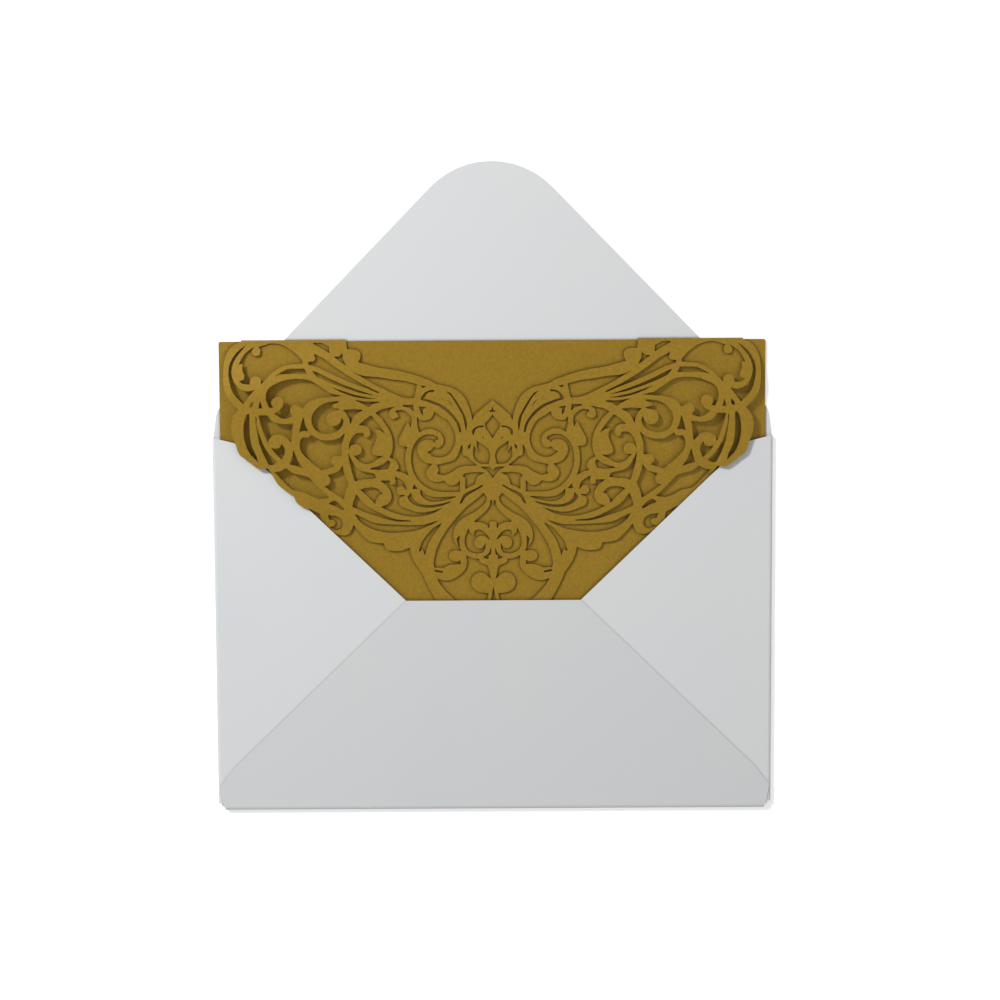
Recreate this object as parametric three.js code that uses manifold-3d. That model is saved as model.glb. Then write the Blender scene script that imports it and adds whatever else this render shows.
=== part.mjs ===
// A laser-cut invitation card resting half out of its open paper envelope, laid flat.
// +X runs to the right, +Y towards the tip of the open flap, +Z up; all sizes are in millimetres.
// The origin is the middle of the footprint, on the surface that the envelope lies on.

import * as THREE from 'three';
import { mergeVertices } from 'three/addons/utils/BufferGeometryUtils.js';
import Module from 'manifold-3d';

const wasm = await Module();
wasm.setup();

// Card
const CARD_WIDTH = 180;
const CARD_HEIGHT = 120;
const CARD_STOCK = 0.3;
const CARD_SHOWING = 32; // how far the card stands out past the envelope's fold
const CARD_CORNER = 0.6;
const LEAF_GAP = 0.3; // between the back leaf and the cut front where they lie closest
const CLEARANCE = 0.3; // between the card and the paper round it

// Envelope
const SIDE_ROOM = 2.5; // on each side of the card
const HEIGHT_ROOM = 5;
const PAPER = 0.2;
const POCKET = 1.7; // height of the room between the back panel and the side flaps
const FLAP_DEPTH = 90; // from the fold to the rounded tip
const FLAP_TIP_RADIUS = 28;
const FLAP_HIP_INSET = 1.5; // how far the flap has drawn in where its short upright edge ends
const FLAP_HIP_HEIGHT = 9;
const FLAP_HIP_RADIUS = 6;
const SHOULDER_WIDTH = 9; // gentle slope at each end of the mouth
const SHOULDER_DROP = 2.2;
const MOUTH_DEPTH = 54.5; // from the fold down to the straight top of the bottom flap
const MOUTH_FLOOR = 58; // length of that straight top
const SIDE_FLAP_TIP = 13; // how far each side flap runs on under the bottom flap
const SEAM_END_HEIGHT = 8; // where the bottom flap's slanting edge meets the side fold
const SEAM_KINK = 5; // the slanting edge turns steeper this far in from the side fold
const SEAM_KINK_RISE = 6.5;
const SHOULDER_RADIUS = 8;
const SIDE_FLAP_TIP_RADIUS = 3;
const CORNER_CHAMFER = 1.2;

// The cut front is drawn for a card of this size, and stretched to the card's own
const DRAWN_WIDTH = 180;
const DRAWN_HEIGHT = 120;
const FOLD_INNER_END = 47.9; // it hangs on two stretches of fold, each from here
const FOLD_OUTER_END = 82.5; // to here, measured from the middle line

// The two wings of the cut front stand a little off the back leaf
const WING_RISE_LEFT = 3.0;
const WING_RISE_RIGHT = 2.2;
const WING_START = 26; // distance from the middle line where the rise begins
const WING_FULL = 86;
const FOLD_EASE = 14; // length over which the rise grows, measured from the fold
const PRESS_REACH = 15; // width of the strip that the mouth's edge holds down
const PRESS_LEFT = [57, 60]; // nearer the middle line than this, each wing is under that edge
const PRESS_RIGHT = [72.5, 74.5];

// Fineness of the curves
const CURVE_ERROR = 0.08;
const BEND_STEPS = 6;
const BEND_LAP = 0.5; // straight run at each end of a fold, lying in the flat sheet

const acrossScale = CARD_WIDTH / DRAWN_WIDTH;
const downScale = CARD_HEIGHT / DRAWN_HEIGHT;
const envelopeWidth = CARD_WIDTH + 2 * SIDE_ROOM;
const envelopeHeight = CARD_HEIGHT + HEIGHT_ROOM;
const foldY = (envelopeHeight - FLAP_DEPTH) / 2;
const bottomY = foldY - envelopeHeight;
const halfWidth = envelopeWidth / 2;
const sideFlapZ = PAPER + POCKET;
const bottomFlapZ = sideFlapZ + PAPER;
const cardZ = PAPER + CLEARANCE;
const frontZ = cardZ + CARD_STOCK + LEAF_GAP;
const cardTop = foldY + CARD_SHOWING;
const bendRadius = CARD_STOCK + LEAF_GAP / 2;
const foldEdge = bendRadius / downScale; // where the flat front ends and its fold begins

// Small helpers

function point(x, y) {
  return new THREE.Vector2(x, y);
}

// A smooth run through the given points, cut into chords that stay within CURVE_ERROR of it.
function smooth(points) {
  const curve = new THREE.SplineCurve(points.map(([x, y]) => point(x, y)));
  const result = [];
  function divide(t0, t1, p0, p1, depth) {
    const middle = curve.getPoint((t0 + t1) / 2);
    const chord = p1.clone().sub(p0);
    const offset = Math.abs(chord.cross(middle.clone().sub(p0))) / Math.max(chord.length(), 1e-9);
    if (depth < 3 && offset > CURVE_ERROR) {
      divide(t0, (t0 + t1) / 2, p0, middle, depth + 1);
      divide((t0 + t1) / 2, t1, middle, p1, depth + 1);
    } else {
      result.push(p0);
    }
  }
  const spans = points.length - 1;
  for (let i = 0; i < spans; i++) {
    const t0 = i / spans;
    const t1 = (i + 1) / spans;
    divide(t0, t1, curve.getPoint(t0), curve.getPoint(t1), 0);
  }
  return result;
}

// A closed outline made of smooth cuts laid end to end; a corner lies where two cuts meet.
function outline(cuts) {
  const result = [];
  for (const [index, cut] of cuts.entries()) {
    const next = cuts[(index + 1) % cuts.length][0];
    const end = cut[cut.length - 1];
    result.push(...(cut.length > 2 ? smooth(cut) : [point(...cut[0])]));
    const apart = Math.hypot(next[0] - end[0], next[1] - end[1]) > 0.01;
    if (apart && cut.length > 1) result.push(point(...end));
  }
  return result;
}

function turned(points) {
  return THREE.ShapeUtils.isClockWise(points) ? points.slice().reverse() : points;
}

function sheet(points, holes, thickness, z) {
  const shape = new THREE.Shape(turned(points));
  for (const hole of holes) shape.holes.push(new THREE.Path(turned(hole).reverse()));
  const geometry = new THREE.ExtrudeGeometry(shape, { depth: thickness, bevelEnabled: false });
  return geometry.translate(0, 0, z);
}

function solid(geometry) {
  const bare = geometry.index ? geometry.toNonIndexed() : geometry.clone();
  bare.deleteAttribute('normal');
  bare.deleteAttribute('uv');
  const merged = mergeVertices(bare, 1e-5);
  return new wasm.Manifold(new wasm.Mesh({
    numProp: 3,
    vertProperties: new Float32Array(merged.attributes.position.array),
    triVerts: new Uint32Array(merged.index.array),
  }));
}

function join(geometries) {
  return geometries.map(solid).reduce((all, one) => all.add(one));
}

function toGeometry(manifold) {
  const mesh = manifold.getMesh();
  const geometry = new THREE.BufferGeometry();
  geometry.setAttribute('position', new THREE.BufferAttribute(new Float32Array(mesh.vertProperties), 3));
  geometry.setIndex(new THREE.BufferAttribute(new Uint32Array(mesh.triVerts), 1));
  geometry.computeVertexNormals();
  return geometry;
}

function corner(from, at, to, radius) {
  const a = point(...from).sub(point(...at)).normalize();
  const b = point(...to).sub(point(...at)).normalize();
  const half = Math.acos(THREE.MathUtils.clamp(a.dot(b), -1, 1)) / 2;
  const reach = radius / Math.tan(half);
  const centre = a.clone().add(b).normalize().multiplyScalar(radius / Math.sin(half)).add(point(...at));
  const start = a.multiplyScalar(reach).add(point(...at)).sub(centre);
  const end = b.multiplyScalar(reach).add(point(...at)).sub(centre);
  const sweep = Math.atan2(start.cross(end), start.dot(end));
  const steps = 2 * Math.ceil(Math.abs(sweep) / (4 * Math.acos(1 - CURVE_ERROR / radius)));
  const result = [];
  for (let i = 0; i <= steps; i++) {
    result.push(start.clone().rotateAround(point(0, 0), sweep * i / steps).add(centre));
  }
  return result;
}

// Half a ring seen along the fold: the sheet turning back over itself.
function bendProfile(innerRadius, thickness) {
  const shape = new THREE.Shape();
  const outer = innerRadius + thickness;
  for (let i = 0; i <= BEND_STEPS; i++) {
    const angle = -Math.PI / 2 + Math.PI * i / BEND_STEPS;
    const place = [outer * Math.cos(angle), outer * Math.sin(angle)];
    if (i === 0) shape.moveTo(-BEND_LAP, -outer);
    shape.lineTo(...place);
  }
  shape.lineTo(-BEND_LAP, outer);
  shape.lineTo(-BEND_LAP, innerRadius);
  for (let i = BEND_STEPS; i >= 0; i--) {
    const angle = -Math.PI / 2 + Math.PI * i / BEND_STEPS;
    shape.lineTo(innerRadius * Math.cos(angle), innerRadius * Math.sin(angle));
  }
  shape.lineTo(-BEND_LAP, -innerRadius);
  return shape;
}

function bend(innerRadius, thickness, length) {
  return new THREE.ExtrudeGeometry(bendProfile(innerRadius, thickness), { depth: length, bevelEnabled: false });
}

// Envelope: one sheet folded at the sides and the bottom and glued, with its flap laid open

// Slope of the flap's long edges, for which the rounded tip reaches exactly FLAP_DEPTH.
function flapSlope(hip) {
  const rest = FLAP_TIP_RADIUS - (FLAP_DEPTH - FLAP_HIP_HEIGHT);
  const a = hip ** 2 - FLAP_TIP_RADIUS ** 2;
  const c = rest ** 2 - FLAP_TIP_RADIUS ** 2;
  return (Math.sqrt((hip * rest) ** 2 - a * c) - hip * rest) / a;
}

function backPanelOutline() {
  const hip = halfWidth - FLAP_HIP_INSET;
  const left = [-halfWidth, foldY];
  const leftHip = [-hip, foldY + FLAP_HIP_HEIGHT];
  const rightHip = [hip, foldY + FLAP_HIP_HEIGHT];
  const tip = [0, leftHip[1] + flapSlope(hip) * hip];
  const edge = sideBend + CORNER_CHAMFER;
  return [
    point(-halfWidth + sideBend, bottomY + bottomBend),
    point(halfWidth - sideBend, bottomY + bottomBend),
    point(halfWidth - sideBend, foldY - edge),
    point(halfWidth - PAPER, foldY),
    ...corner([halfWidth, foldY], rightHip, tip, FLAP_HIP_RADIUS),
    ...corner(rightHip, tip, leftHip, FLAP_TIP_RADIUS),
    ...corner(tip, leftHip, left, FLAP_HIP_RADIUS),
    point(-halfWidth + PAPER, foldY),
    point(-halfWidth + sideBend, foldY - edge),
  ];
}

const sideBend = (sideFlapZ + PAPER) / 2;
const bottomBend = (bottomFlapZ + PAPER) / 2;

// The mouth's slanting edge on the right, from the shoulder to the straight top of the bottom flap.
const shoulderX = halfWidth - SHOULDER_WIDTH;
const shoulderY = foldY - SHOULDER_DROP;
const mouthY = foldY - MOUTH_DEPTH;
const mouthSlope = (shoulderY - mouthY) / (shoulderX - MOUTH_FLOOR / 2);

function sideFlapOutline() {
  const tipX = MOUTH_FLOOR / 2 - SIDE_FLAP_TIP;
  const tipY = mouthY - SIDE_FLAP_TIP * mouthSlope;
  const footY = bottomY + bottomBend + CORNER_CHAMFER;
  const side = halfWidth - sideBend;
  return [
    point(side, footY),
    point(side, foldY - sideBend * SHOULDER_DROP / SHOULDER_WIDTH),
    ...corner([halfWidth, foldY], [shoulderX, shoulderY], [tipX, tipY], SHOULDER_RADIUS),
    ...corner([shoulderX, shoulderY], [tipX, tipY], [side, footY], SIDE_FLAP_TIP_RADIUS),
  ];
}

function bottomFlapOutline() {
  const seamTop = [MOUTH_FLOOR / 2, mouthY];
  const side = halfWidth - sideBend / 2;
  const foot = [side, bottomY + SEAM_END_HEIGHT];
  const low = bottomY + bottomBend;
  const right = [
    [side - CORNER_CHAMFER, low],
    foot,
    [side - SEAM_KINK, bottomY + SEAM_END_HEIGHT + SEAM_KINK_RISE],
    seamTop,
  ];
  return [
    ...right.map(([x, y]) => point(x, y)),
    ...right.reverse().map(([x, y]) => point(-x, y)),
  ];
}

function sideFold(sign) {
  const length = envelopeHeight - bottomBend - CORNER_CHAMFER - sideBend * SHOULDER_DROP / SHOULDER_WIDTH;
  const fold = bend(sideBend - PAPER, PAPER, length);
  fold.rotateX(Math.PI / 2);
  fold.translate(halfWidth - sideBend, foldY - sideBend * SHOULDER_DROP / SHOULDER_WIDTH, sideBend);
  return sign > 0 ? fold : mirrorX(fold);
}

function mirrorX(geometry) {
  const copy = geometry.index ? geometry.toNonIndexed() : geometry.clone();
  copy.scale(-1, 1, 1);
  const place = copy.attributes.position;
  for (let i = 0; i < place.count; i += 3) {
    const second = [place.getX(i + 1), place.getY(i + 1), place.getZ(i + 1)];
    place.setXYZ(i + 1, place.getX(i + 2), place.getY(i + 2), place.getZ(i + 2));
    place.setXYZ(i + 2, ...second);
  }
  return copy;
}

function bottomFold() {
  const length = envelopeWidth - 2 * (sideBend + CORNER_CHAMFER);
  const fold = bend(bottomBend - PAPER, PAPER, length);
  fold.rotateX(Math.PI / 2);
  fold.rotateZ(-Math.PI / 2);
  fold.translate(length / 2, bottomY + bottomBend, bottomBend);
  return fold;
}

function envelope() {
  const rightFlap = sheet(sideFlapOutline(), [], PAPER, sideFlapZ);
  return toGeometry(join([
    sheet(backPanelOutline(), [], PAPER, 0),
    rightFlap,
    mirrorX(rightFlap),
    sideFold(1),
    sideFold(-1),
    bottomFold(),
    sheet(bottomFlapOutline(), [], PAPER, bottomFlapZ),
  ]));
}

// Cut front of the card. Every window is drawn once, on one half: the first number is the
// distance from the middle line, the second the distance below the fold. Each inner list is
// one smooth cut of the blade, and the cuts close into a window.

const EDGE = [
  [[0, 20.0], [1.6, 21.3], [3.6, 23.0], [5.2, 24.3], [6.1, 25.4], [6.6, 26.8]],
  [[6.6, 26.8], [7.0, 24.4], [7.9, 21.6], [9.3, 18.9], [11.2, 17.1], [13.8, 15.7], [16.8, 15.0],
    [18.6, 14.6], [20.6, 13.4], [23.6, 12.3], [27.2, 11.1], [32.0, 10.0], [37.4, 9.2], [41.4, 8.1], [44.0, 7.4]],
  [[44.0, 7.4], [43.3, 5.9], [43.4, 4.3], [44.4, 3.4], [46.0, 3.1], [47.7, 3.1]],
  [[47.7, 3.1], [FOLD_INNER_END, foldEdge]],
  [[FOLD_OUTER_END, foldEdge], [84.6, 1.2], [86.5, 3.0], [87.8, 5.8], [88.3, 9.6], [88.2, 14.4],
    [87.4, 17.6], [85.6, 20.2], [83.3, 22.6]],
  [[83.3, 22.6], [85.0, 24.8], [85.9, 27.8], [85.5, 31.2], [84.4, 34.2], [83.9, 36.0], [82.9, 37.9],
    [81.0, 39.2], [78.4, 41.3], [76.6, 42.3], [74.0, 42.0]],
  [[74.0, 42.0], [72.6, 44.3], [70.8, 47.4], [68.0, 49.8], [65.7, 51.2], [65.1, 52.8], [63.9, 54.3],
    [62.2, 55.2], [60.2, 55.7], [58.6, 56.6]],
  [[58.6, 56.6], [57.2, 57.4], [56.9, 59.6], [55.8, 61.6], [53.6, 63.4], [51.2, 64.4], [49.2, 64.6],
    [47.4, 63.8], [46.2, 61.1]],
  [[46.2, 61.1], [44.6, 63.1], [42.3, 65.6], [40.4, 66.8], [38.2, 67.2], [36.2, 67.3]],
  [[36.2, 67.3], [35.8, 68.7], [34.7, 69.6], [32.8, 69.9], [30.4, 69.8], [27.7, 68.8]],
  [[27.7, 68.8], [27.3, 70.8], [26.4, 73.2], [25.0, 75.4], [23.7, 77.2], [22.8, 79.4], [21.6, 82.0],
    [19.6, 85.6], [16.4, 89.4], [12.4, 93.0], [8.0, 96.2], [3.6, 99.6], [0, 104]],
];

const WING = [
  // long crescent along the outer lobe
  [[[80.8, 1.5], [83.9, 3.9], [86.1, 7.4], [86.6, 11.0], [85.8, 15.6], [84.1, 18.5], [81.7, 20.9]],
    [[81.7, 20.9], [80.2, 18.9], [78.0, 16.2]],
    [[78.0, 16.2], [80.5, 16.7], [83.4, 15.4], [85.3, 12.3], [85.5, 8.9], [84.1, 5.6], [80.8, 1.5]]],
  // open bay with its leaf, its round bud and the bud that hangs from the top
  [[[78.0, 2.1], [79.7, 3.1], [81.2, 4.3], [82.3, 6.0], [83.3, 7.9]],
    [[83.3, 7.9], [81.9, 7.7]],
    [[81.9, 7.7], [82.1, 9.6], [81.4, 11.4], [81.5, 12.8], [83.1, 13.5]],
    [[83.1, 13.5], [81.8, 14.3], [79.6, 14.5]],
    [[79.6, 14.5], [79.4, 12.9], [78.7, 12.0], [77.7, 11.8], [76.6, 12.1], [75.9, 13.0], [75.9, 14.5]],
    [[75.9, 14.5], [74.4, 12.8], [72.5, 11.0], [69.8, 9.0], [66.8, 8.1], [62.3, 7.7]],
    [[62.3, 7.7], [62.5, 6.5], [64.4, 4.5], [67.0, 2.6], [70.0, 1.3], [73.2, 1.1], [76.7, 2.2]],
    [[76.7, 2.2], [76.1, 3.3], [76.4, 4.7], [77.5, 5.2], [78.8, 4.6], [79.0, 3.4], [78.0, 2.1]]],
  // slot between the two arches
  [[[71.5, 11.8], [69.8, 10.7], [67.6, 9.6], [65.6, 9.35], [61.7, 9.35]],
    [[61.7, 9.35], [60.8, 11.2]],
    [[60.8, 11.2], [66.0, 11.05], [69.2, 11.2], [71.5, 11.8]]],
  // large bay round the small volute
  [[[73.2, 22.2], [74.1, 20.2], [74.35, 18.4], [73.7, 16.1], [71.6, 14.5], [68.4, 13.2], [65.0, 12.7],
    [61.0, 12.9], [58.6, 13.9], [55.4, 16.0], [53.0, 17.6], [49.4, 18.4]],
    [[49.4, 18.4], [53.0, 18.7], [56.5, 19.0], [60.1, 20.1], [62.3, 22.5]],
    [[62.3, 22.5], [63.5, 21.6], [65.0, 21.3], [66.3, 22.3], [66.4, 23.7], [65.6, 25.0]],
    [[65.6, 25.0], [67.4, 25.8], [69.6, 25.5], [71.6, 24.0]],
    [[71.6, 24.0], [69.9, 22.9], [68.7, 21.4], [68.6, 19.7], [69.7, 18.7], [71.2, 18.7], [72.4, 19.7],
      [72.5, 21.0], [72.0, 22.0]]],
  // drops between the stalks under the bud
  [[[78.5, 19.8], [79.5, 20.9], [79.7, 21.9]], [[79.7, 21.9], [78.9, 22.0], [78.4, 21.0], [78.5, 19.8]]],
  [[[76.2, 19.9], [76.6, 21.1], [76.7, 22.3]], [[76.7, 22.3], [75.5, 22.3]], [[75.5, 22.3], [75.8, 21.1], [76.2, 19.9]]],
  // slit behind the second lobe
  [[[79.9, 24.0], [80.9, 24.6], [81.6, 27.2], [81.8, 30.4], [81.2, 34.0], [79.7, 37.4], [77.1, 40.1]],
    [[77.1, 40.1], [77.6, 38.0], [79.0, 35.0], [79.7, 31.5], [79.8, 28.0], [79.7, 25.4], [79.9, 24.0]]],
  // blade between the two long stalks
  [[[77.8, 25.0], [77.75, 27.5], [77.4, 30.0], [76.8, 33.6], [75.3, 37.6], [73.6, 40.9]],
    [[73.6, 40.9], [72.3, 40.9], [70.8, 40.0]],
    [[70.8, 40.0], [73.5, 37.3], [75.6, 33.8], [76.8, 30.0], [77.4, 27.5], [77.45, 25.0]]],
  // shield window over the hooked disc
  [[[76.8, 24.6], [76.3, 26.9], [75.3, 30.1], [73.85, 34.0]],
    [[73.85, 34.0], [73.5, 32.5], [72.2, 31.3], [70.3, 30.9], [68.2, 31.5], [66.2, 33.7]],
    [[66.2, 33.7], [65.9, 31.5], [65.8, 29.0], [65.3, 27.2]],
    [[65.3, 27.2], [68.5, 27.5], [71.3, 27.0], [72.8, 26.2], [74.0, 24.5]]],
  [[[69.4, 33.9], [69.8, 35.0], [71.2, 35.6], [72.9, 35.3]],
    [[72.9, 35.3], [71.2, 37.5], [69.3, 39.2]],
    [[69.3, 39.2], [68.4, 37.2], [68.5, 35.2], [69.4, 33.9]]],
  [[[65.5, 36.1], [65.9, 38.0], [66.9, 40.8]], [[66.9, 40.8], [64.7, 41.3], [62.5, 42.1]],
    [[62.5, 42.1], [64.2, 39.6], [65.5, 36.1]]],
  // long leaf along the lower edge
  [[[71.9, 43.3], [70.4, 43.1], [67.9, 42.0]],
    [[67.9, 42.0], [66.0, 43.6], [62.6, 44.5], [60.5, 45.2], [58.8, 47.2], [56.1, 50.0], [53.9, 51.9]],
    [[53.9, 51.9], [57.0, 52.4], [59.6, 51.5], [62.4, 50.0], [65.8, 49.3], [68.4, 47.0], [71.9, 43.3]]],
  [[[62.2, 25.1], [62.8, 27.2], [63.7, 30.4]], [[63.7, 30.4], [62.4, 29.8], [60.6, 29.9]],
    [[60.6, 29.9], [61.5, 28.0], [62.2, 25.1]]],
];

const FAN = [
  // leaf tips at the foot of the fold
  [[[58.9, 1.2], [57.9, 0.75], [56.2, 0.9], [53.6, 2.2]], [[53.6, 2.2], [53.4, 4.4]],
    [[53.4, 4.4], [55.8, 2.9], [58.9, 1.2]]],
  [[[52.1, 5.5], [50.4, 5.5], [49.2, 4.4]], [[49.2, 4.4], [49.1, 6.1], [48.0, 8.5]],
    [[48.0, 8.5], [49.7, 7.4], [52.1, 5.5]]],
  // five ribs spreading from the upper arch
  [[[60.5, 7.2], [58.9, 7.0], [58.1, 6.0], [58.6, 4.5]],
    [[58.6, 4.5], [55.2, 6.2], [51.7, 8.9], [47.7, 11.6], [43.0, 14.4], [37.4, 17.2]],
    [[37.4, 17.7], [41.6, 15.9], [46.4, 14.1], [51.7, 11.7], [57.0, 9.1], [60.3, 8.1]]],
  [[[59.1, 10.1], [57.5, 10.6], [53.5, 12.7], [49.0, 14.7], [44.2, 16.5], [38.3, 18.5]],
    [[38.3, 18.5], [44.2, 17.3], [49.0, 15.7], [53.4, 14.0], [57.6, 12.0], [59.1, 10.1]]],
  [[[53.2, 15.4], [49.9, 16.5], [45.5, 18.0], [41.2, 18.95], [38.2, 19.4]],
    [[38.2, 19.4], [41.2, 19.4], [45.5, 18.7], [49.9, 17.1], [53.2, 15.4]]],
  [[[45.4, 19.7], [41.6, 20.3], [37.4, 20.3]], [[37.4, 20.7], [39.3, 21.1], [40.9, 22.2]],
    [[40.9, 22.2], [42.4, 21.2], [45.4, 19.7]]],
  // long window inside the upper arm
  [[[46.3, 10.2], [44.3, 11.2], [42.0, 11.9], [37.4, 12.3], [33.0, 13.1], [28.8, 13.6], [24.8, 14.7]],
    [[24.8, 14.7], [25.1, 16.4], [25.8, 19.3]],
    [[25.8, 19.3], [29.5, 19.0], [33.7, 17.2], [38.0, 15.1], [42.0, 12.8], [46.3, 10.2]]],
  [[[23.7, 15.1], [21.7, 15.4]], [[21.7, 15.4], [22.9, 16.0]]],
  [[[29.5, 21.5], [26.1, 21.5]], [[26.1, 21.5], [25.9, 23.7]], [[25.9, 23.7], [27.2, 22.5], [29.5, 21.9]]],
  [[[24.2, 22.0], [21.7, 22.4]], [[21.7, 22.6], [22.9, 23.0], [22.9, 25.1]],
    [[22.9, 25.1], [23.7, 23.9], [24.2, 22.0]]],
  // hooked slit and the two slender slits beside the crown
  [[[19.1, 16.6], [20.6, 16.7], [22.3, 17.5], [23.4, 18.9], [23.6, 19.8]],
    [[23.6, 19.8], [21.0, 20.6], [17.7, 22.0], [14.6, 24.3], [12.0, 27.3], [10.9, 30.6]],
    [[10.3, 30.6], [10.6, 28.4], [11.8, 26.2], [14.2, 23.3], [17.5, 21.1], [20.5, 20.0], [22.4, 19.4]],
    [[22.4, 19.4], [22.0, 18.3], [20.9, 17.4], [19.1, 17.2]]],
  [[[15.2, 17.1], [13.6, 17.8], [12.0, 19.9], [10.2, 22.9], [8.9, 25.4], [8.35, 28.0], [8.7, 30.4]],
    [[8.7, 30.4], [9.2, 27.8], [9.8, 25.0], [11.5, 22.0], [13.3, 19.0], [15.2, 17.1]]],
  [[[15.4, 19.6], [14.2, 20.6], [13.0, 22.4]], [[13.0, 22.4], [13.9, 20.6], [15.4, 19.6]]],
];

const VOLUTES = [
  // ring round the big disc
  [[[50.6, 20.1], [54.0, 20.3], [57.0, 21.8], [59.1, 24.3], [59.5, 27.0], [58.2, 29.6], [55.6, 30.8],
    [52.6, 30.6], [50.1, 29.2], [49.0, 27.0], [49.5, 25.6]],
    [[49.5, 25.6], [50.1, 27.1], [51.6, 28.2], [53.4, 28.1], [54.6, 26.6], [54.4, 24.6], [53.0, 23.4], [50.6, 23.0]],
    [[50.6, 22.6], [52.4, 22.1], [52.4, 21.1], [50.6, 20.6]]],
  [[[49.2, 23.0], [46.0, 22.7], [42.8, 23.0]], [[42.8, 23.3], [45.0, 24.5], [46.1, 26.0], [46.8, 27.9]],
    [[46.8, 27.9], [47.2, 25.8], [48.0, 24.2], [49.2, 23.0]]],
  // broad heart-shaped bay under the ring
  [[[62.6, 31.9], [63.5, 33.6], [63.2, 36.2], [61.6, 38.4], [59.0, 40.8], [56.3, 42.9]],
    [[56.3, 42.9], [54.0, 42.2], [52.0, 41.5]],
    [[52.0, 41.5], [53.2, 40.4], [53.2, 39.0], [51.8, 38.1], [49.8, 38.2]],
    [[49.8, 38.2], [49.7, 34.4], [48.5, 30.5]],
    [[48.5, 30.5], [50.2, 32.0], [53.0, 32.9], [56.6, 32.8], [59.8, 30.9]],
    [[59.8, 30.9], [60.6, 32.0], [62.6, 31.9]]],
  // middle volute with its inner disc and the great leaf
  [[[40.0, 24.8], [42.0, 26.2], [44.2, 28.1]],
    [[44.2, 28.1], [42.0, 28.2], [40.6, 29.2], [40.2, 30.8], [40.9, 32.0], [42.2, 31.9], [42.6, 30.6]],
    [[42.6, 30.6], [44.4, 30.6], [46.0, 31.7], [47.2, 33.9], [47.5, 36.2]],
    [[47.5, 36.2], [46.8, 34.9], [45.2, 34.3], [43.7, 34.9], [43.1, 36.4], [43.7, 37.6], [45.0, 38.1], [45.9, 38.1]],
    [[45.9, 38.1], [44.2, 39.9], [42.0, 40.9], [39.8, 40.5], [37.8, 39.2], [36.0, 38.3]],
    [[36.0, 38.3], [38.2, 38.2], [39.7, 37.3], [39.6, 35.6], [38.6, 33.4], [38.2, 31.6], [38.9, 29.4]],
    [[38.9, 29.4], [37.2, 29.7], [35.4, 31.0]],
    [[35.4, 31.0], [37.2, 28.2], [40.0, 24.8]]],
  [[[47.7, 37.0], [47.2, 40.4], [46.4, 43.8], [45.5, 46.6]],
    [[45.5, 46.6], [43.4, 46.0], [40.8, 45.9], [38.5, 45.6]],
    [[38.5, 45.6], [38.9, 44.4], [40.0, 43.9], [42.6, 43.4], [44.4, 42.6], [45.6, 41.2], [46.8, 39.0], [47.7, 37.0]]],
  [[[40.3, 42.3], [37.8, 41.6], [36.0, 40.9], [34.7, 39.8]],
    [[34.7, 39.8], [34.0, 40.0], [33.9, 41.3], [34.6, 42.6]],
    [[34.6, 42.6], [37.4, 42.9], [40.3, 42.7]]],
  // tall bay between the great leaf and the heart
  [[[38.6, 24.0], [36.4, 26.0], [34.6, 28.7], [33.3, 31.5], [32.9, 34.5], [33.3, 37.2], [34.0, 38.8]],
    [[34.0, 38.8], [32.4, 39.5], [31.2, 41.0], [31.1, 42.4], [31.9, 43.3]],
    [[31.9, 43.3], [29.9, 43.8], [27.8, 44.9]],
    [[27.8, 44.9], [28.6, 42.2], [28.9, 39.5], [28.7, 37.0], [28.2, 35.3]],
    [[28.2, 35.3], [29.6, 35.2], [30.8, 34.5], [30.8, 32.5], [29.6, 30.1], [28.0, 27.2]],
    [[28.0, 27.2], [27.4, 27.9], [27.0, 28.9]],
    [[27.0, 28.9], [26.6, 27.2], [26.8, 25.4], [28.2, 23.9], [30.0, 23.05], [32.1, 23.4]],
    [[32.1, 23.4], [31.3, 24.3], [30.9, 25.3]],
    [[30.9, 25.3], [32.6, 26.2], [34.0, 25.4], [34.1, 24.0], [33.4, 22.8], [32.1, 22.0]],
    [[32.1, 22.0], [33.6, 22.3], [36.4, 22.8], [38.6, 24.0]]],
];

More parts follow.
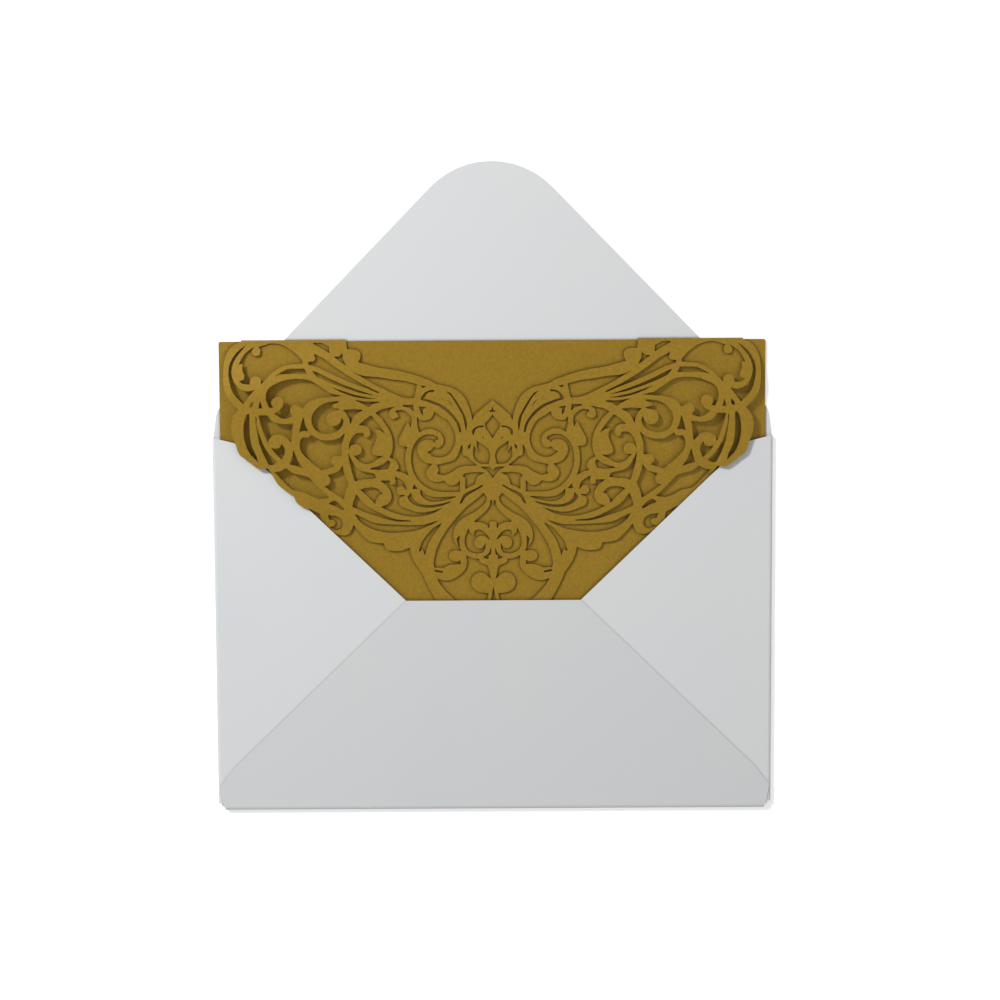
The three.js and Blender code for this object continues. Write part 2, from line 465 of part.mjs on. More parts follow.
const HEART = [
  // outer turn of the heart's volute
  [[[24.9, 25.4], [24.9, 27.0], [24.7, 28.8], [24.2, 30.6]],
    [[24.2, 30.6], [22.6, 29.7], [20.4, 29.4], [18.4, 30.0], [16.8, 31.2], [16.1, 33.0], [16.6, 34.9], [18.0, 35.8], [19.4, 35.4]],
    [[19.4, 35.4], [20.2, 36.4], [21.6, 37.1]],
    [[21.6, 37.1], [19.6, 38.6], [17.3, 38.9], [15.0, 38.2], [13.2, 36.3], [12.2, 33.2], [12.6, 30.4],
      [13.8, 28.0], [15.2, 26.3], [17.2, 25.2], [19.2, 23.8]],
    [[19.2, 23.8], [19.6, 25.0], [20.6, 26.2], [22.4, 26.7], [24.0, 26.5], [24.9, 25.4]]],
  // inside of the heart
  [[[18.0, 32.2], [19.5, 31.4], [22.0, 31.3], [24.2, 32.4], [25.9, 34.5], [26.9, 38.0], [26.7, 42.0],
    [25.2, 45.6], [22.6, 48.4], [19.4, 49.9], [15.8, 50.4], [10.9, 50.3]],
    [[10.9, 50.3], [10.9, 46.4]],
    [[10.9, 46.4], [11.8, 47.6], [13.4, 48.2], [15.0, 47.8], [16.2, 46.6]],
    [[16.2, 46.6], [18.0, 47.1], [20.4, 46.6], [21.9, 44.8], [21.8, 42.9], [20.0, 41.1]],
    [[20.0, 41.1], [21.8, 40.7], [23.6, 39.5], [24.8, 37.2], [24.7, 35.0], [23.4, 33.5], [21.4, 33.0],
      [19.7, 33.4], [19.2, 34.3]],
    [[19.2, 34.3], [18.9, 33.3], [18.0, 33.1]]],
  [[[18.4, 41.3], [15.6, 40.7], [13.0, 39.9], [11.5, 38.2], [10.4, 35.0]],
    [[9.95, 35.0], [9.9, 38.2]],
    [[9.9, 38.2], [8.4, 38.7], [7.2, 39.9], [5.4, 41.2]],
    [[5.4, 41.7], [8.6, 41.7], [11.2, 42.2], [13.6, 43.8], [16.2, 44.8], [18.4, 44.3]],
    [[18.4, 44.3], [17.8, 43.0], [18.4, 41.3]]],
  [[[10.0, 45.2], [9.4, 44.3], [7.6, 43.9], [5.5, 43.8], [2.6, 44.0]],
    [[2.6, 44.0], [4.6, 44.9], [5.5, 46.2], [5.9, 47.9]],
    [[5.9, 47.9], [7.6, 48.6], [9.1, 49.5]],
    [[9.1, 49.5], [9.1, 45.6]]],
  [[[3.3, 47.9], [5.4, 49.1], [8.2, 50.3], [9.6, 51.2], [10.4, 52.6], [11.1, 54.4]],
    [[11.1, 54.4], [10.2, 54.0], [9.2, 52.3], [7.8, 51.1], [5.6, 49.9], [3.3, 48.5]]],
  // loop on each side of the crown's stalk, with its hook
  [[[5.3, 33.4], [3.2, 34.8], [1.5, 36.2], [0.75, 38.4], [1.3, 41.1]],
    [[1.3, 41.1], [3.6, 41.1], [5.2, 40.4], [6.3, 38.9], [6.5, 37.0], [6.2, 34.9]],
    [[6.2, 34.9], [5.6, 36.1], [4.5, 37.2]],
    [[4.5, 37.2], [5.2, 35.6], [5.3, 33.4]]],
  [[[6.6, 31.5], [6.8, 30.2], [5.8, 29.1], [4.4, 28.5], [2.9, 28.4]],
    [[2.9, 28.9], [4.6, 29.1], [5.7, 29.9], [6.2, 31.4]]],
  [[[3.4, 32.3], [2.9, 32.1]], [[2.9, 32.1], [3.0, 32.9]]],
  [[[7.2, 34.3], [8.2, 35.3], [7.9, 36.4]], [[7.9, 36.4], [7.3, 35.4], [7.2, 34.3]]],
];

const SWAGS = [
  // curl at the end of the lower edge
  [[[54.7, 57.7], [52.4, 58.0], [50.4, 59.0], [49.7, 60.7], [50.4, 62.4], [52.2, 62.8], [54.2, 61.9]],
    [[54.2, 61.9], [52.8, 61.5], [52.1, 60.4], [52.8, 59.4], [54.2, 59.3]]],
  [[[54.4, 44.4], [52.2, 43.8], [50.6, 42.9], [49.5, 41.4]],
    [[49.5, 41.4], [49.1, 43.4], [48.3, 45.6], [47.5, 47.5]],
    [[47.5, 47.5], [48.5, 49.6], [49.2, 52.6]],
    [[49.2, 52.6], [51.6, 51.0], [53.4, 49.8], [55.5, 48.2]],
    [[55.5, 48.2], [53.9, 47.4], [53.6, 45.8], [54.4, 44.4]]],
  [[[54.2, 54.0], [52.7, 52.9], [51.0, 53.8], [49.2, 55.6]],
    [[49.2, 55.6], [49.8, 56.1], [51.8, 54.9], [54.2, 54.0]]],
  // long crescents of the swag
  [[[45.7, 57.5], [42.6, 58.9], [39.4, 60.4], [34.0, 61.0], [27.5, 61.3], [23.0, 61.2], [20.0, 60.4], [17.6, 59.7]],
    [[17.6, 59.7], [20.6, 61.3], [24.4, 62.8], [29.0, 63.6], [34.0, 63.8], [38.6, 63.0], [42.0, 61.5], [44.4, 59.6], [45.7, 57.5]]],
  [[[45.1, 50.8], [43.4, 53.2], [41.0, 55.2], [38.0, 56.9], [34.9, 58.4], [31.6, 59.4], [27.2, 59.8]],
    [[27.2, 60.1], [31.0, 60.1], [34.6, 59.5], [38.8, 58.1], [42.6, 56.8], [46.5, 55.0]],
    [[46.5, 55.0], [46.0, 52.8], [45.1, 50.8]]],
  [[[43.8, 49.4], [42.4, 48.8], [40.0, 48.6], [37.9, 49.2], [36.4, 50.7]],
    [[36.4, 50.7], [37.6, 51.3], [38.4, 52.4], [38.9, 54.2]],
    [[38.9, 54.2], [41.0, 51.9], [43.8, 49.4]]],
  [[[37.3, 46.4], [34.1, 46.4]], [[34.1, 46.4], [33.9, 47.8]], [[33.9, 47.8], [32.3, 47.8]],
    [[32.3, 47.8], [32.1, 46.6], [32.4, 45.1]],
    [[32.4, 45.1], [30.4, 46.1], [28.9, 47.7], [28.5, 49.9]],
    [[28.5, 49.9], [29.2, 48.9], [30.4, 48.1], [31.6, 48.8], [31.8, 50.2], [30.9, 51.2], [29.2, 51.3]],
    [[29.2, 51.6], [30.3, 51.9], [31.1, 52.9], [30.6, 54.8], [28.4, 55.9], [25.6, 56.9], [22.6, 57.1], [19.6, 56.5], [16.3, 55.5]],
    [[16.3, 55.5], [19.4, 57.2], [22.6, 58.2], [26.4, 58.5], [30.2, 57.9], [33.8, 56.8], [37.1, 55.2]],
    [[37.1, 55.2], [34.9, 54.3], [33.6, 52.6], [33.7, 50.2], [35.2, 47.9], [37.3, 46.4]]],
  [[[28.3, 51.9], [27.0, 50.5]],
    [[27.0, 50.5], [26.7, 52.1], [25.2, 53.7], [22.6, 54.6], [19.6, 54.6], [16.6, 54.1], [14.0, 53.5]],
    [[14.0, 53.8], [16.8, 54.9], [20.0, 55.5], [23.4, 55.4], [26.0, 54.5], [27.6, 53.3], [28.3, 51.9]]],
  [[[23.9, 49.4], [22.8, 50.6], [20.6, 51.8], [17.6, 52.1], [14.6, 51.9], [12.2, 51.8]],
    [[12.2, 52.0], [14.0, 52.7], [16.6, 53.3], [19.6, 53.6], [22.2, 52.9], [23.9, 51.2], [23.9, 49.4]]],
  [[[26.1, 47.7], [24.7, 49.3]], [[24.7, 49.3], [26.6, 49.3]]],
];

const STEM = [
  [[[16.8, 60.5], [19.6, 62.1], [22.0, 64.6], [23.8, 67.2], [24.7, 70.0]],
    [[24.0, 70.0], [23.5, 69.0]],
    [[23.4, 69.4], [22.6, 71.6]],
    [[22.6, 71.6], [22.1, 69.6], [21.3, 67.2], [19.9, 64.8], [18.2, 62.6], [16.8, 60.5]]],
  // long bay down each side of the stem, round the hanging leaf and the disc
  [[[3.1, 50.7], [6.0, 53.2], [9.0, 55.5], [12.0, 58.7], [15.0, 62.4], [17.4, 66.2], [19.0, 70.0], [19.8, 74.0], [19.5, 75.5]],
    [[19.5, 75.5], [16.6, 75.6], [14.4, 74.6], [10.8, 74.4]],
    [[10.8, 74.4], [10.9, 73.0]],
    [[10.9, 73.0], [11.6, 73.5], [13.2, 73.4], [14.5, 72.4], [14.6, 71.0], [13.6, 70.0], [12.0, 69.8], [10.5, 70.1]],
    [[10.5, 70.1], [11.1, 68.6], [11.2, 66.8], [11.0, 64.8]],
    [[11.0, 64.8], [12.1, 65.8], [11.9, 67.0], [11.6, 68.6]],
    [[11.6, 68.6], [12.8, 67.0], [13.2, 64.8], [12.8, 62.4], [11.4, 60.2], [9.0, 58.5], [6.0, 57.0], [3.4, 55.0], [2.2, 53.4], [2.0, 52.0]]],
  [[[19.6, 76.2], [16.8, 76.7]], [[16.8, 77.3], [19.3, 76.9]]],
  // curl beside the stem
  [[[8.0, 62.3], [9.0, 64.2], [9.5, 67.0], [8.8, 69.3], [7.2, 70.5], [5.2, 70.9], [3.4, 70.6]],
    [[3.4, 70.6], [2.6, 69.4], [2.5, 67.3]],
    [[2.5, 67.3], [3.3, 68.8], [4.8, 69.2], [6.1, 68.2], [6.2, 66.4], [5.2, 65.3], [3.6, 65.0], [2.4, 65.3], [1.0, 66.5]],
    [[1.0, 66.5], [1.8, 64.8], [3.4, 63.3], [5.2, 62.9], [6.1, 63.5], [6.5, 64.9]],
    [[6.5, 64.9], [7.7, 63.8], [8.0, 62.3]]],
  [[[0.8, 68.8], [1.2, 70.3], [2.0, 71.3], [3.1, 71.9]], [[3.1, 72.3], [1.7, 72.8]],
    [[1.7, 72.8], [1.5, 71.6], [0.75, 71.0], [0.65, 69.8], [0.8, 68.8]]],
  // bay round the lowest disc
  [[[9.0, 71.5], [8.7, 73.2], [9.0, 75.4], [10.2, 77.2], [12.2, 78.7], [14.6, 79.8], [16.8, 79.8], [18.7, 79.2]],
    [[18.7, 79.2], [17.6, 81.2], [15.8, 83.4], [13.0, 86.2], [9.0, 89.4]],
    [[9.0, 89.4], [5.4, 88.8], [2.4, 86.6], [1.6, 84.2]],
    [[1.6, 84.2], [4.2, 83.9], [6.4, 82.8], [7.4, 80.6], [6.7, 78.3], [4.8, 77.2], [2.7, 77.6], [0.8, 79.4]],
    [[0.8, 79.4], [1.2, 77.2], [1.9, 75.0], [3.8, 74.2]],
    [[3.8, 74.2], [4.7, 73.4], [4.7, 72.7]],
    [[4.7, 72.7], [6.6, 72.5], [9.0, 71.5]]],
];

// Windows that lie across the middle line, from the line's upper point to its lower one.
const MIDDLE = [
  [[[0, 22.1], [0.3, 23.2], [1.0, 23.6]], [[1.0, 23.9]]],
  [[[0, 24.8], [1.3, 26.4], [2.6, 27.9]], [[2.6, 27.9], [2.2, 29.4], [1.7, 30.0]], [[1.7, 30.0], [0.9, 31.3], [0, 32.6]]],
  [[[0, 43.2], [1.2, 42.1], [3.8, 42.0]], [[3.8, 42.3], [2.2, 43.1], [0.9, 44.6], [0, 45.9]]],
  [[[0, 54.8], [0.35, 53.1]], [[0.8, 53.1], [1.2, 55.1], [2.6, 57.0], [4.4, 58.6], [6.1, 60.0]],
    [[6.1, 60.4], [4.4, 60.4], [2.8, 60.9], [1.8, 61.5], [1.6, 62.3]], [[1.2, 62.3], [1.2, 60.6]], [[0.9, 60.2]]],
  [[[0, 81.8], [0.35, 83.6], [0.8, 86.4]], [[0.8, 86.4], [0.6, 88.4], [0, 90.2]]],
];

function place([across, down], side) {
  return [side * across * acrossScale, cardTop - down * downScale];
}

function placed(cuts, side) {
  return cuts.map((cut) => cut.map((at) => place(at, side)));
}

function reversed(cuts) {
  return cuts.map((cut) => cut.slice().reverse()).reverse();
}

function bothSides(cuts) {
  return outline([...placed(cuts, 1), ...reversed(placed(cuts, -1))]);
}

function frontSheet() {
  const windows = [];
  for (const cuts of [...WING, ...FAN, ...VOLUTES, ...HEART, ...SWAGS, ...STEM]) {
    for (const side of [1, -1]) windows.push(outline(placed(cuts, side)));
  }
  for (const cuts of MIDDLE) windows.push(bothSides(cuts));
  const blank = solid(sheet(bothSides(EDGE), [], CARD_STOCK, frontZ));
  return windows
    .map((window) => solid(sheet(window, [], 3 * CARD_STOCK, frontZ - CARD_STOCK)))
    .reduce((rest, window) => rest.subtract(window), blank);
}

function backLeaf() {
  const side = CARD_WIDTH / 2;
  const top = cardTop - bendRadius;
  const low = cardTop - CARD_HEIGHT;
  return sheet([
    ...corner([-side, top], [-side, low], [side, low], CARD_CORNER),
    ...corner([-side, low], [side, low], [side, top], CARD_CORNER),
    ...corner([side, low], [side, top], [-side, top], CARD_CORNER),
    ...corner([side, top], [-side, top], [-side, low], CARD_CORNER),
  ], [], CARD_STOCK, cardZ);
}

function cardFold(sign) {
  const length = (FOLD_OUTER_END - FOLD_INNER_END) * acrossScale;
  const fold = bend(LEAF_GAP / 2, CARD_STOCK, length);
  fold.rotateX(Math.PI / 2);
  fold.rotateZ(Math.PI / 2);
  const start = (sign > 0 ? FOLD_INNER_END : -FOLD_OUTER_END) * acrossScale;
  fold.translate(start, cardTop - bendRadius, cardZ + bendRadius);
  return fold;
}

// How far a point of the front stands up from its flat place.
function wingRise(x, y) {
  const across = Math.abs(x) / acrossScale;
  const down = (cardTop - y) / downScale;
  const full = x < 0 ? WING_RISE_LEFT : WING_RISE_RIGHT;
  const [from, to] = x < 0 ? PRESS_LEFT : PRESS_RIGHT;
  const step = THREE.MathUtils.smoothstep;
  const free = full * step(across, WING_START, WING_FULL) * step(down, foldEdge, FOLD_EASE);
  const mouthEdge = shoulderY - (shoulderX - Math.abs(x)) * mouthSlope;
  const inside = (y - mouthEdge) / Math.hypot(1, mouthSlope);
  const slipped = 1 - step(across, from, to);
  const held = slipped * (1 - step(inside, 0, PRESS_REACH));
  return free * (1 - held);
}

function raiseWings(geometry) {
  const place = geometry.attributes.position;
  for (let i = 0; i < place.count; i++) {
    const z = place.getZ(i);
    if (z > frontZ - LEAF_GAP / 4) place.setZ(i, z + wingRise(place.getX(i), place.getY(i)));
  }
  geometry.computeVertexNormals();
  return geometry;
}

function card() {
  const leaf = join([backLeaf(), cardFold(1), cardFold(-1)]);
  return raiseWings(toGeometry(leaf.add(frontSheet())));
}

const paper = new THREE.MeshStandardMaterial({ color: 0xe6e8ec, roughness: 0.85, metalness: 0, name: 'white_paper' });
const goldCard = new THREE.MeshStandardMaterial({ color: 0xb08a2e, roughness: 0.45, metalness: 0.35, name: 'gold_card' });

function piece(name, geometry, material) {
  const mesh = new THREE.Mesh(geometry, material);
  mesh.name = name;
  return mesh;
}

const invitation = new THREE.Group();
invitation.name = 'die_cut_invitation';
invitation.add(piece('envelope', envelope(), paper));
invitation.add(piece('invitation_card', card(), goldCard));

export default invitation;
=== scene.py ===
import math

import bmesh
import bpy
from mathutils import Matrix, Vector

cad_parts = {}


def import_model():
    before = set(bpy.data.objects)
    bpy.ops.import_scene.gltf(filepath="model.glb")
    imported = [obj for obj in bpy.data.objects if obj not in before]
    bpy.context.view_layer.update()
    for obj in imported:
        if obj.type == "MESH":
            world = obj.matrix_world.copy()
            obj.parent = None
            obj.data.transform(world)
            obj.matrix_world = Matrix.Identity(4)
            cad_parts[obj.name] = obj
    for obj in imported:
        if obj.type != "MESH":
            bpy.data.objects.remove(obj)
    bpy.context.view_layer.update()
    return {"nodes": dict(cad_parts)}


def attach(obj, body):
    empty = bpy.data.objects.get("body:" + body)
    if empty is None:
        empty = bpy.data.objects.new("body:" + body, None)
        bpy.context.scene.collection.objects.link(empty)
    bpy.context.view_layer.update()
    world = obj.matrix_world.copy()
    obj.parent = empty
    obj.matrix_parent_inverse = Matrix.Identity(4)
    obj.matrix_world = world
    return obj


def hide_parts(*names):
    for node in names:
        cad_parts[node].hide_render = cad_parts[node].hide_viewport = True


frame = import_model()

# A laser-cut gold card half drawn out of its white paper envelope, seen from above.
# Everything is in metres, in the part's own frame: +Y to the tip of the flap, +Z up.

MM = 0.001
BODY = "root"

# Camera
LENS = 70.0
SENSOR = 36.0
CAMERA_TILT = math.radians(4.9)
CAMERA_ROLL = -0.0055
CAMERA_DISTANCE = 645 * MM
LOOK_AT = Vector((2.65, -3.75, 0)) * MM

# Light; one full unit makes a colour render about as it is written
WORLD_SHARE = 0.40
KEY_SHARE = 0.50
FILL_SHARE = 0.10
KEY_PLACE = Vector((-0.56, 0.52, 0.68))
KEY_SIZE = 0.15
FILL_PLACE = Vector((0.60, -0.25, 0.95))
FILL_SIZE = 0.80

# Floor
FLOOR_HALF = 3.0
FLOOR_DROP = 0.05 * MM
FLOOR_COLOR = (0.80, 0.80, 0.80, 1)
FLOOR_ROUGHNESS = 0.9
FLOOR_LIFT = 0.42

# Paper
PAPER_COOL = (0.640, 0.658, 0.672, 1)
PAPER_WARM = (0.664, 0.668, 0.668, 1)
PAPER_TONE_STOPS = (0.30, 0.70)
PAPER_ROUGHNESS = (0.74, 0.86)
PAPER_CLOUD = 70 * MM
PAPER_CLOUD_DETAIL = 3.0
PAPER_FIBRE = 0.35 * MM
PAPER_FIBRE_DETAIL = 4.0
PAPER_FIBRE_STRETCH = (1.0, 2.6, 1.0)
PAPER_FIBRE_TONE = (0.975, 1.025)
PAPER_GRAIN_HEIGHT = 0.008 * MM
# Painted shade: within this reach of a narrow gap, such as a seam, the paper's colour is
# darkened to this tone
PAPER_SHADE_REACH = 0.9 * MM
PAPER_SHADE_TONE = 0.30

# Heights between which the bottom flap, the topmost layer, is given painted shade, a lower
# tone of its colour
FLAP_SHADE_BAND = (2.12 * MM, 2.18 * MM)
FLAP_SHADE_TONE = 0.93

# Gold card
GOLD_DEEP = (0.238, 0.138, 0.0065, 1)
GOLD_PALE = (0.278, 0.163, 0.0095, 1)
GOLD_EDGE = (0.060, 0.031, 0.006, 1)
GOLD_TONE_STOPS = (0.28, 0.72)
GOLD_METALLIC = 0.30
GOLD_SPECULAR = 0.3
GOLD_ROUGHNESS = (0.44, 0.62)
GOLD_FLAKE = 0.30 * MM
GOLD_FLAKE_TONE = (0.86, 1.16)
GOLD_MOTTLE = 1.1 * MM
GOLD_MOTTLE_DETAIL = 5.0
GOLD_GRAIN = 0.60 * MM
GOLD_GRAIN_DETAIL = 3.0
GOLD_GRAIN_HEIGHT = 0.006 * MM
# Painted shade: the card's colour is darkened deep in a narrow gap, and more gently within a
# wider reach of the layers above it
GOLD_GAP_SHADE_REACH = 1.5 * MM
GOLD_GAP_SHADE_TONE = 0.18
GOLD_WIDE_SHADE_REACH = 6.5 * MM
GOLD_WIDE_SHADE_TONE = 0.80

# Upright share of a face's normal under which the face is a cut edge
WALL_TILT = 0.6

# Share of open sky at which the painted shade of a gap has its full tone, and from which a
# face is in the open and has none
SHADE_SKY_SPAN = (0.30, 0.94)
SHADE_SAMPLES = 4

# Sockets of the colour mixing node
MIX_SHARE, MIX_FACE, MIX_EDGE, MIX_COLOR = 0, 6, 7, 2

# Cut front of the card, as the construction piece has it, in millimetres
CARD_TOP = 49.5
FRONT_FLOOR = 1.025
FOLD_EDGE = 0.45
WING_RISE = {-1: 3.0, 1: 2.2}
WING_SPAN = (26, 86)
FOLD_EASE = 14
PRESS = {-1: (57, 60), 1: (72.5, 74.5)}
PRESS_REACH = 15
SHOULDER = (83.5, 15.3)
MOUTH_CORNER = (29.0, -37.0)

# The finer front that is shown
SOFT_SPAN = (20, 88)
SOFT_EASE = 20
MIDDLE_LIFT = 0.14
MIDDLE_EASE = 9
PRESS_SPREAD = 2.5
PRESS_SPREAD_REACH = 6
FACET = 2.2 * MM
MOST_CUTS = 5
MERGE_REACH = 0.001 * MM
SMOOTH_ANGLE = math.radians(35)


def add(tree, kind, settings=None, inputs=None):
    """A new shader node with its settings and the values of its inputs."""
    made = tree.nodes.new(kind)
    for name, value in (settings or {}).items():
        setattr(made, name, value)
    for name, value in (inputs or {}).items():
        made.inputs[name].default_value = value
    return made


def join(tree, source, output, target, entry):
    """Links an output of one node to an input of another."""
    tree.links.new(source.outputs[output], target.inputs[entry])


def noise(tree, place, size, detail, stretch=None):
    """Noise whose features are about size metres across."""
    made = add(tree, "ShaderNodeTexNoise", inputs={"Scale": 1 / size, "Detail": detail})
    if stretch:
        mapping = add(tree, "ShaderNodeMapping", inputs={"Scale": stretch})
        join(tree, place, "Object", mapping, "Vector")
        join(tree, mapping, "Vector", made, "Vector")
    else:
        join(tree, place, "Object", made, "Vector")
    return made


def ramp(tree, source, output, stops):
    """Colours at places from 0 to 1, read by a value."""
    made = add(tree, "ShaderNodeValToRGB")
    elements = made.color_ramp.elements
    for element, (position, color) in zip(elements, stops):
        element.position = position
        element.color = color
    join(tree, source, output, made, "Fac")
    return made


def to_range(tree, source, output, to, span=(0.0, 1.0)):
    """A value from the given span brought into the range to."""
    ends = {"From Min": span[0], "From Max": span[1], "To Min": to[0], "To Max": to[1]}
    made = add(tree, "ShaderNodeMapRange", inputs=ends)
    join(tree, source, output, made, "Value")
    return made


def new_material(name):
    """A material with its tree, its shader and the object's coordinates."""
    material = bpy.data.materials.new(name)
    material.use_nodes = True
    tree = material.node_tree
    shader = tree.nodes["Principled BSDF"]
    place = add(tree, "ShaderNodeTexCoord")
    return material, tree, shader, place


def bump(tree, shader, source, output, height):
    """A fine relief of the given height, which follows a value."""
    made = add(tree, "ShaderNodeBump", inputs={"Strength": 1.0, "Distance": height})
    join(tree, source, output, made, "Height")
    join(tree, made, "Normal", shader, "Normal")


def painted_occlusion_shade(tree, reach, tone):
    """Painted shade from ambient occlusion: a tone from 1 in the open to the given one, deep
    in a narrow gap.
    """
    settings = {"samples": SHADE_SAMPLES}
    shade = add(tree, "ShaderNodeAmbientOcclusion", settings, {"Distance": reach})
    return to_range(tree, shade, "AO", (tone, 1.0), SHADE_SKY_SPAN)


def scaled(tree, color, output, value):
    """A colour multiplied by a value."""
    made = add(tree, "ShaderNodeVectorMath", {"operation": "SCALE"})
    join(tree, color, output, made, "Vector")
    join(tree, value, "Result", made, "Scale")
    return made


def paper_material():
    """Smooth white writing paper, with painted shade: the bottom flap a little lower in
    tone, and darker deep in a narrow gap such as a seam.
    """
    material, tree, shader, place = new_material("white_paper_finish")
    clouds = noise(tree, place, PAPER_CLOUD, PAPER_CLOUD_DETAIL)
    tone = ramp(tree, clouds, "Fac", zip(PAPER_TONE_STOPS, (PAPER_COOL, PAPER_WARM)))
    fibre = noise(tree, place, PAPER_FIBRE, PAPER_FIBRE_DETAIL, PAPER_FIBRE_STRETCH)
    shade = to_range(tree, fibre, "Fac", PAPER_FIBRE_TONE)
    fibrous = scaled(tree, tone, "Color", shade)
    # Painted shade: above a band of heights the bottom flap, the highest layer, gets a lower
    # tone
    axes = add(tree, "ShaderNodeSeparateXYZ")
    join(tree, place, "Object", axes, "Vector")
    flap = to_range(tree, axes, "Z", (1.0, FLAP_SHADE_TONE), FLAP_SHADE_BAND)
    flap_shaded = scaled(tree, fibrous, "Vector", flap)
    # Painted shade: the paper is darker deep in a narrow gap
    paper_gap_shade = painted_occlusion_shade(tree, PAPER_SHADE_REACH, PAPER_SHADE_TONE)
    join(tree, scaled(tree, flap_shaded, "Vector", paper_gap_shade), "Vector", shader, "Base Color")
    gloss = to_range(tree, fibre, "Fac", PAPER_ROUGHNESS)
    join(tree, gloss, "Result", shader, "Roughness")
    bump(tree, shader, fibre, "Fac", PAPER_GRAIN_HEIGHT)
    return material


def gold_material():
    """Pearl gold card: fine flakes in a mottled ground, with cut edges a darker brown, and
    painted shade that darkens the colour deep in a narrow gap and, more gently, near any
    layer above it.
    """
    material, tree, shader, place = new_material("gold_card_finish")
    mottle = noise(tree, place, GOLD_MOTTLE, GOLD_MOTTLE_DETAIL)
    ground = ramp(tree, mottle, "Fac", zip(GOLD_TONE_STOPS, (GOLD_DEEP, GOLD_PALE)))
    flakes = add(tree, "ShaderNodeTexVoronoi", inputs={"Scale": 1 / GOLD_FLAKE})
    join(tree, place, "Object", flakes, "Vector")
    grey = add(tree, "ShaderNodeRGBToBW")
    join(tree, flakes, "Color", grey, "Color")
    sparkle = to_range(tree, grey, "Val", GOLD_FLAKE_TONE)
    speckled = scaled(tree, ground, "Color", sparkle)
    # Painted shade: darker within a wide reach of layers above, then deeper in a narrow gap
    wide_shade = painted_occlusion_shade(tree, GOLD_WIDE_SHADE_REACH, GOLD_WIDE_SHADE_TONE)
    shaded = scaled(tree, speckled, "Vector", wide_shade)
    face = scaled(tree, shaded, "Vector", painted_occlusion_shade(tree, GOLD_GAP_SHADE_REACH, GOLD_GAP_SHADE_TONE))

    geometry = add(tree, "ShaderNodeNewGeometry")
    axes = add(tree, "ShaderNodeSeparateXYZ")
    join(tree, geometry, "True Normal", axes, "Vector")
    upright = add(tree, "ShaderNodeMath", {"operation": "ABSOLUTE"})
    join(tree, axes, "Z", upright, 0)
    wall = add(tree, "ShaderNodeMath", {"operation": "LESS_THAN"})
    wall.inputs[1].default_value = WALL_TILT
    join(tree, upright, "Value", wall, 0)
    color = add(tree, "ShaderNodeMix", {"data_type": "RGBA"})
    color.inputs[MIX_EDGE].default_value = GOLD_EDGE
    join(tree, wall, "Value", color, MIX_SHARE)
    join(tree, face, "Vector", color, MIX_FACE)
    join(tree, color, MIX_COLOR, shader, "Base Color")

    shader.inputs["Metallic"].default_value = GOLD_METALLIC
    shader.inputs["Specular IOR Level"].default_value = GOLD_SPECULAR
    gloss = to_range(tree, grey, "Val", GOLD_ROUGHNESS)
    join(tree, gloss, "Result", shader, "Roughness")
    grain = noise(tree, place, GOLD_GRAIN, GOLD_GRAIN_DETAIL)
    bump(tree, shader, grain, "Fac", GOLD_GRAIN_HEIGHT)
    return material


def step(value, low, high):
    """A smooth step from 0 at low to 1 at high."""
    share = min(max((value - low) / (high - low), 0), 1)
    return share * share * (3 - 2 * share)


def from_mouth(x, y):
    """Distance from the mouth's slanting edge, more than 0 on the open side."""
    slope = (SHOULDER[1] - MOUTH_CORNER[1]) / (SHOULDER[0] - MOUTH_CORNER[0])
    return (y - SHOULDER[1] + (SHOULDER[0] - abs(x)) * slope) / math.hypot(1, slope)


def built_rise(x, y):
    """How far the construction piece lifts its front at a place, in millimetres."""
    side = -1 if x < 0 else 1
    free = step(abs(x), *WING_SPAN) * step(CARD_TOP - y, FOLD_EDGE, FOLD_EASE)
    slipped = 1 - step(abs(x), *PRESS[side])
    held = slipped * (1 - step(from_mouth(x, y), 0, PRESS_REACH))
    return WING_RISE[side] * free * (1 - held)


def shown_rise(x, y):
    """The same lift, eased into a smooth curve and a little fuller in the middle."""
    side = -1 if x < 0 else 1
    down = CARD_TOP - y
    inside = from_mouth(x, y)
    spread = min(max(inside, 0), PRESS_SPREAD_REACH)
    low, high = PRESS[side]
    free = step(abs(x), *SOFT_SPAN) * step(down, FOLD_EDGE, SOFT_EASE)
    slipped = 1 - step(abs(x), low - PRESS_SPREAD * spread, high + spread)
    held = slipped * (1 - step(inside, 0, PRESS_REACH))
    middle = MIDDLE_LIFT * step(down, FOLD_EDGE, MIDDLE_EASE)
    return max(WING_RISE[side] * free * (1 - held), 0) + middle


def move_front(mesh, rise, sign):
    """Moves the front leaf up or down by a lift that depends on the place."""
    for vertex in mesh.verts:
        if vertex.co.z > FRONT_FLOOR * MM:
            vertex.co.z += sign * rise(vertex.co.x / MM, vertex.co.y / MM) * MM


def in_front(part):
    """Whether an edge or a face lies wholly in the front leaf."""
    return min(vertex.co.z for vertex in part.verts) > FRONT_FLOOR * MM


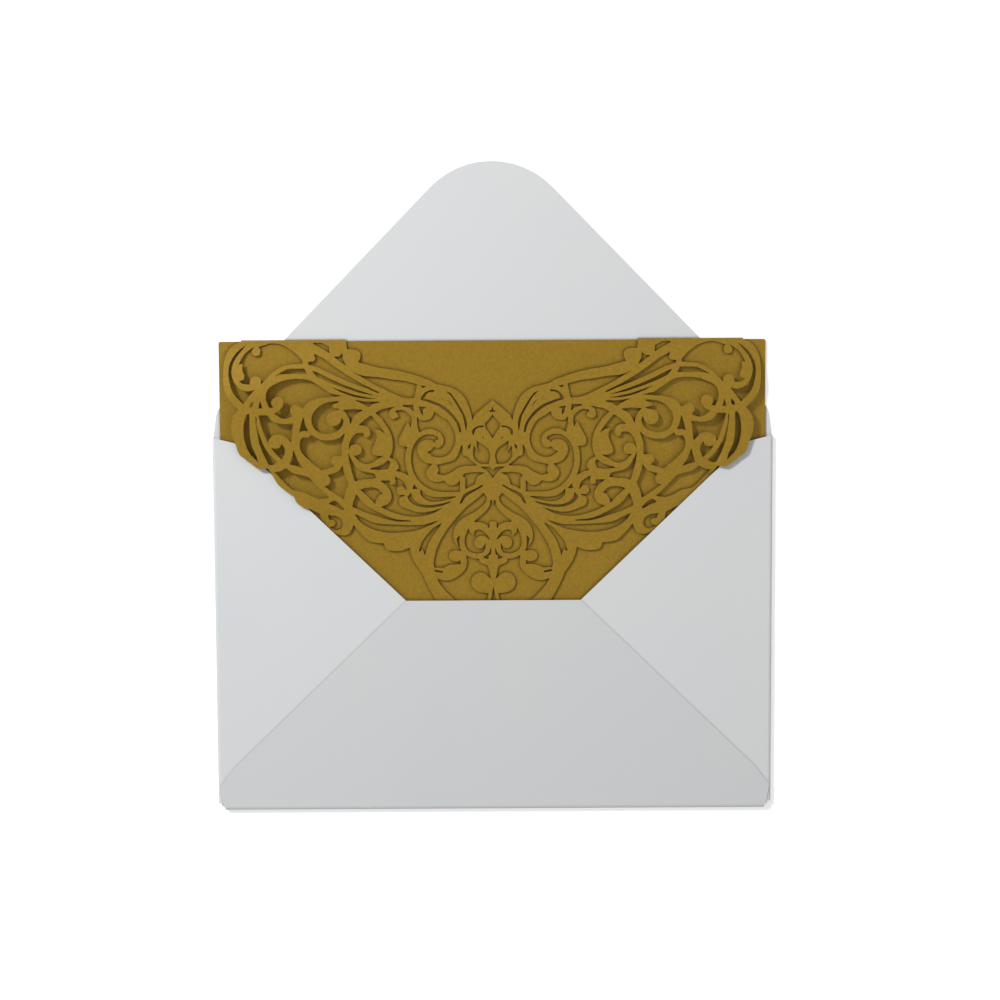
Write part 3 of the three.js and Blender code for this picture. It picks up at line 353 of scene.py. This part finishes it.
def shown_card(material):
    """The card with its own cuts, its front cut fine enough to curve smoothly."""
    data = frame["nodes"]["invitation_card"].data.copy()
    mesh = bmesh.new()
    mesh.from_mesh(data)
    bmesh.ops.remove_doubles(mesh, verts=mesh.verts, dist=MERGE_REACH)
    move_front(mesh, built_rise, -1)
    for _ in range(MOST_CUTS):
        long = [edge for edge in mesh.edges if in_front(edge) and edge.calc_length() > FACET]
        if not long:
            break
        bmesh.ops.subdivide_edges(mesh, edges=long, cuts=1)
        bmesh.ops.triangulate(mesh, faces=mesh.faces)
    move_front(mesh, shown_rise, 1)
    for face in mesh.faces:
        face.smooth = in_front(face)
    mesh.to_mesh(data)
    mesh.free()
    if "custom_normal" in data.attributes:
        data.attributes.remove(data.attributes["custom_normal"])
    data.materials.clear()
    data.materials.append(material)
    data.set_sharp_from_angle(angle=SMOOTH_ANGLE)
    piece = bpy.data.objects.new("lace_card", data)
    bpy.context.scene.collection.objects.link(piece)
    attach(piece, BODY)
    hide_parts("invitation_card")


def finish_node(name, material):
    """Gives a construction piece its finish."""
    piece = frame["nodes"][name]
    for holder in piece.material_slots:
        holder.material = material


def floor():
    """A plain white floor that keeps the soft shadow of the paper."""
    bpy.ops.mesh.primitive_plane_add(size=2 * FLOOR_HALF, location=(0, 0, -FLOOR_DROP))
    plane = bpy.context.object
    plane.name = "floor"
    material = bpy.data.materials.new("floor_finish")
    material.use_nodes = True
    tree = material.node_tree
    shader = tree.nodes["Principled BSDF"]
    shader.inputs["Base Color"].default_value = FLOOR_COLOR
    shader.inputs["Roughness"].default_value = FLOOR_ROUGHNESS
    shader.inputs["Specular IOR Level"].default_value = 0.0
    shader.inputs["Emission Color"].default_value = (1, 1, 1, 1)
    path = add(tree, "ShaderNodeLightPath")
    lift = add(tree, "ShaderNodeMath", {"operation": "MULTIPLY"})
    lift.inputs[1].default_value = FLOOR_LIFT
    join(tree, path, "Is Camera Ray", lift, 0)
    join(tree, lift, "Value", shader, "Emission Strength")
    plane.data.materials.append(material)


def lamp(name, place, size, share):
    """A square lamp aimed at the middle of the part; share is its part of the full light."""
    data = bpy.data.lights.new(name, "AREA")
    data.shape = "SQUARE"
    data.size = size
    distance = place.length
    slant = place.z / distance
    data.energy = share * math.pi ** 2 * distance ** 2 / slant
    holder = bpy.data.objects.new(name, data)
    holder.location = place
    holder.rotation_euler = place.to_track_quat("Z", "Y").to_euler()
    bpy.context.scene.collection.objects.link(holder)


def world():
    """Even daylight on the part; what looks past the floor sees plain white."""
    made = bpy.data.worlds.new("studio")
    bpy.context.scene.world = made
    made.use_nodes = True
    tree = made.node_tree
    background = tree.nodes["Background"]
    background.inputs["Color"].default_value = (1, 1, 1, 1)
    path = add(tree, "ShaderNodeLightPath")
    seen = add(tree, "ShaderNodeMath", {"operation": "ADD", "use_clamp": True})
    join(tree, path, "Is Camera Ray", seen, 0)
    join(tree, path, "Is Glossy Ray", seen, 1)
    through = add(tree, "ShaderNodeMath", {"operation": "ADD", "use_clamp": True})
    join(tree, seen, "Value", through, 0)
    join(tree, path, "Is Transmission Ray", through, 1)
    strength = to_range(tree, through, "Value", (WORLD_SHARE, 1.0))
    join(tree, strength, "Result", background, "Strength")


def camera():
    """Looks down on the part, a little from the side of the flap."""
    data = bpy.data.cameras.new("camera")
    data.lens = LENS
    data.sensor_width = SENSOR
    holder = bpy.data.objects.new("camera", data)
    back = Vector((0, math.sin(CAMERA_TILT), math.cos(CAMERA_TILT)))
    holder.location = LOOK_AT + back * CAMERA_DISTANCE
    holder.rotation_euler = (-CAMERA_TILT, 0, CAMERA_ROLL)
    bpy.context.scene.collection.objects.link(holder)
    bpy.context.scene.camera = holder


camera()
world()
lamp("key", KEY_PLACE, KEY_SIZE, KEY_SHARE)
lamp("fill", FILL_PLACE, FILL_SIZE, FILL_SHARE)
floor()
finish_node("envelope", paper_material())
shown_card(gold_material())

bpy.context.scene.view_settings.view_transform = "Standard"
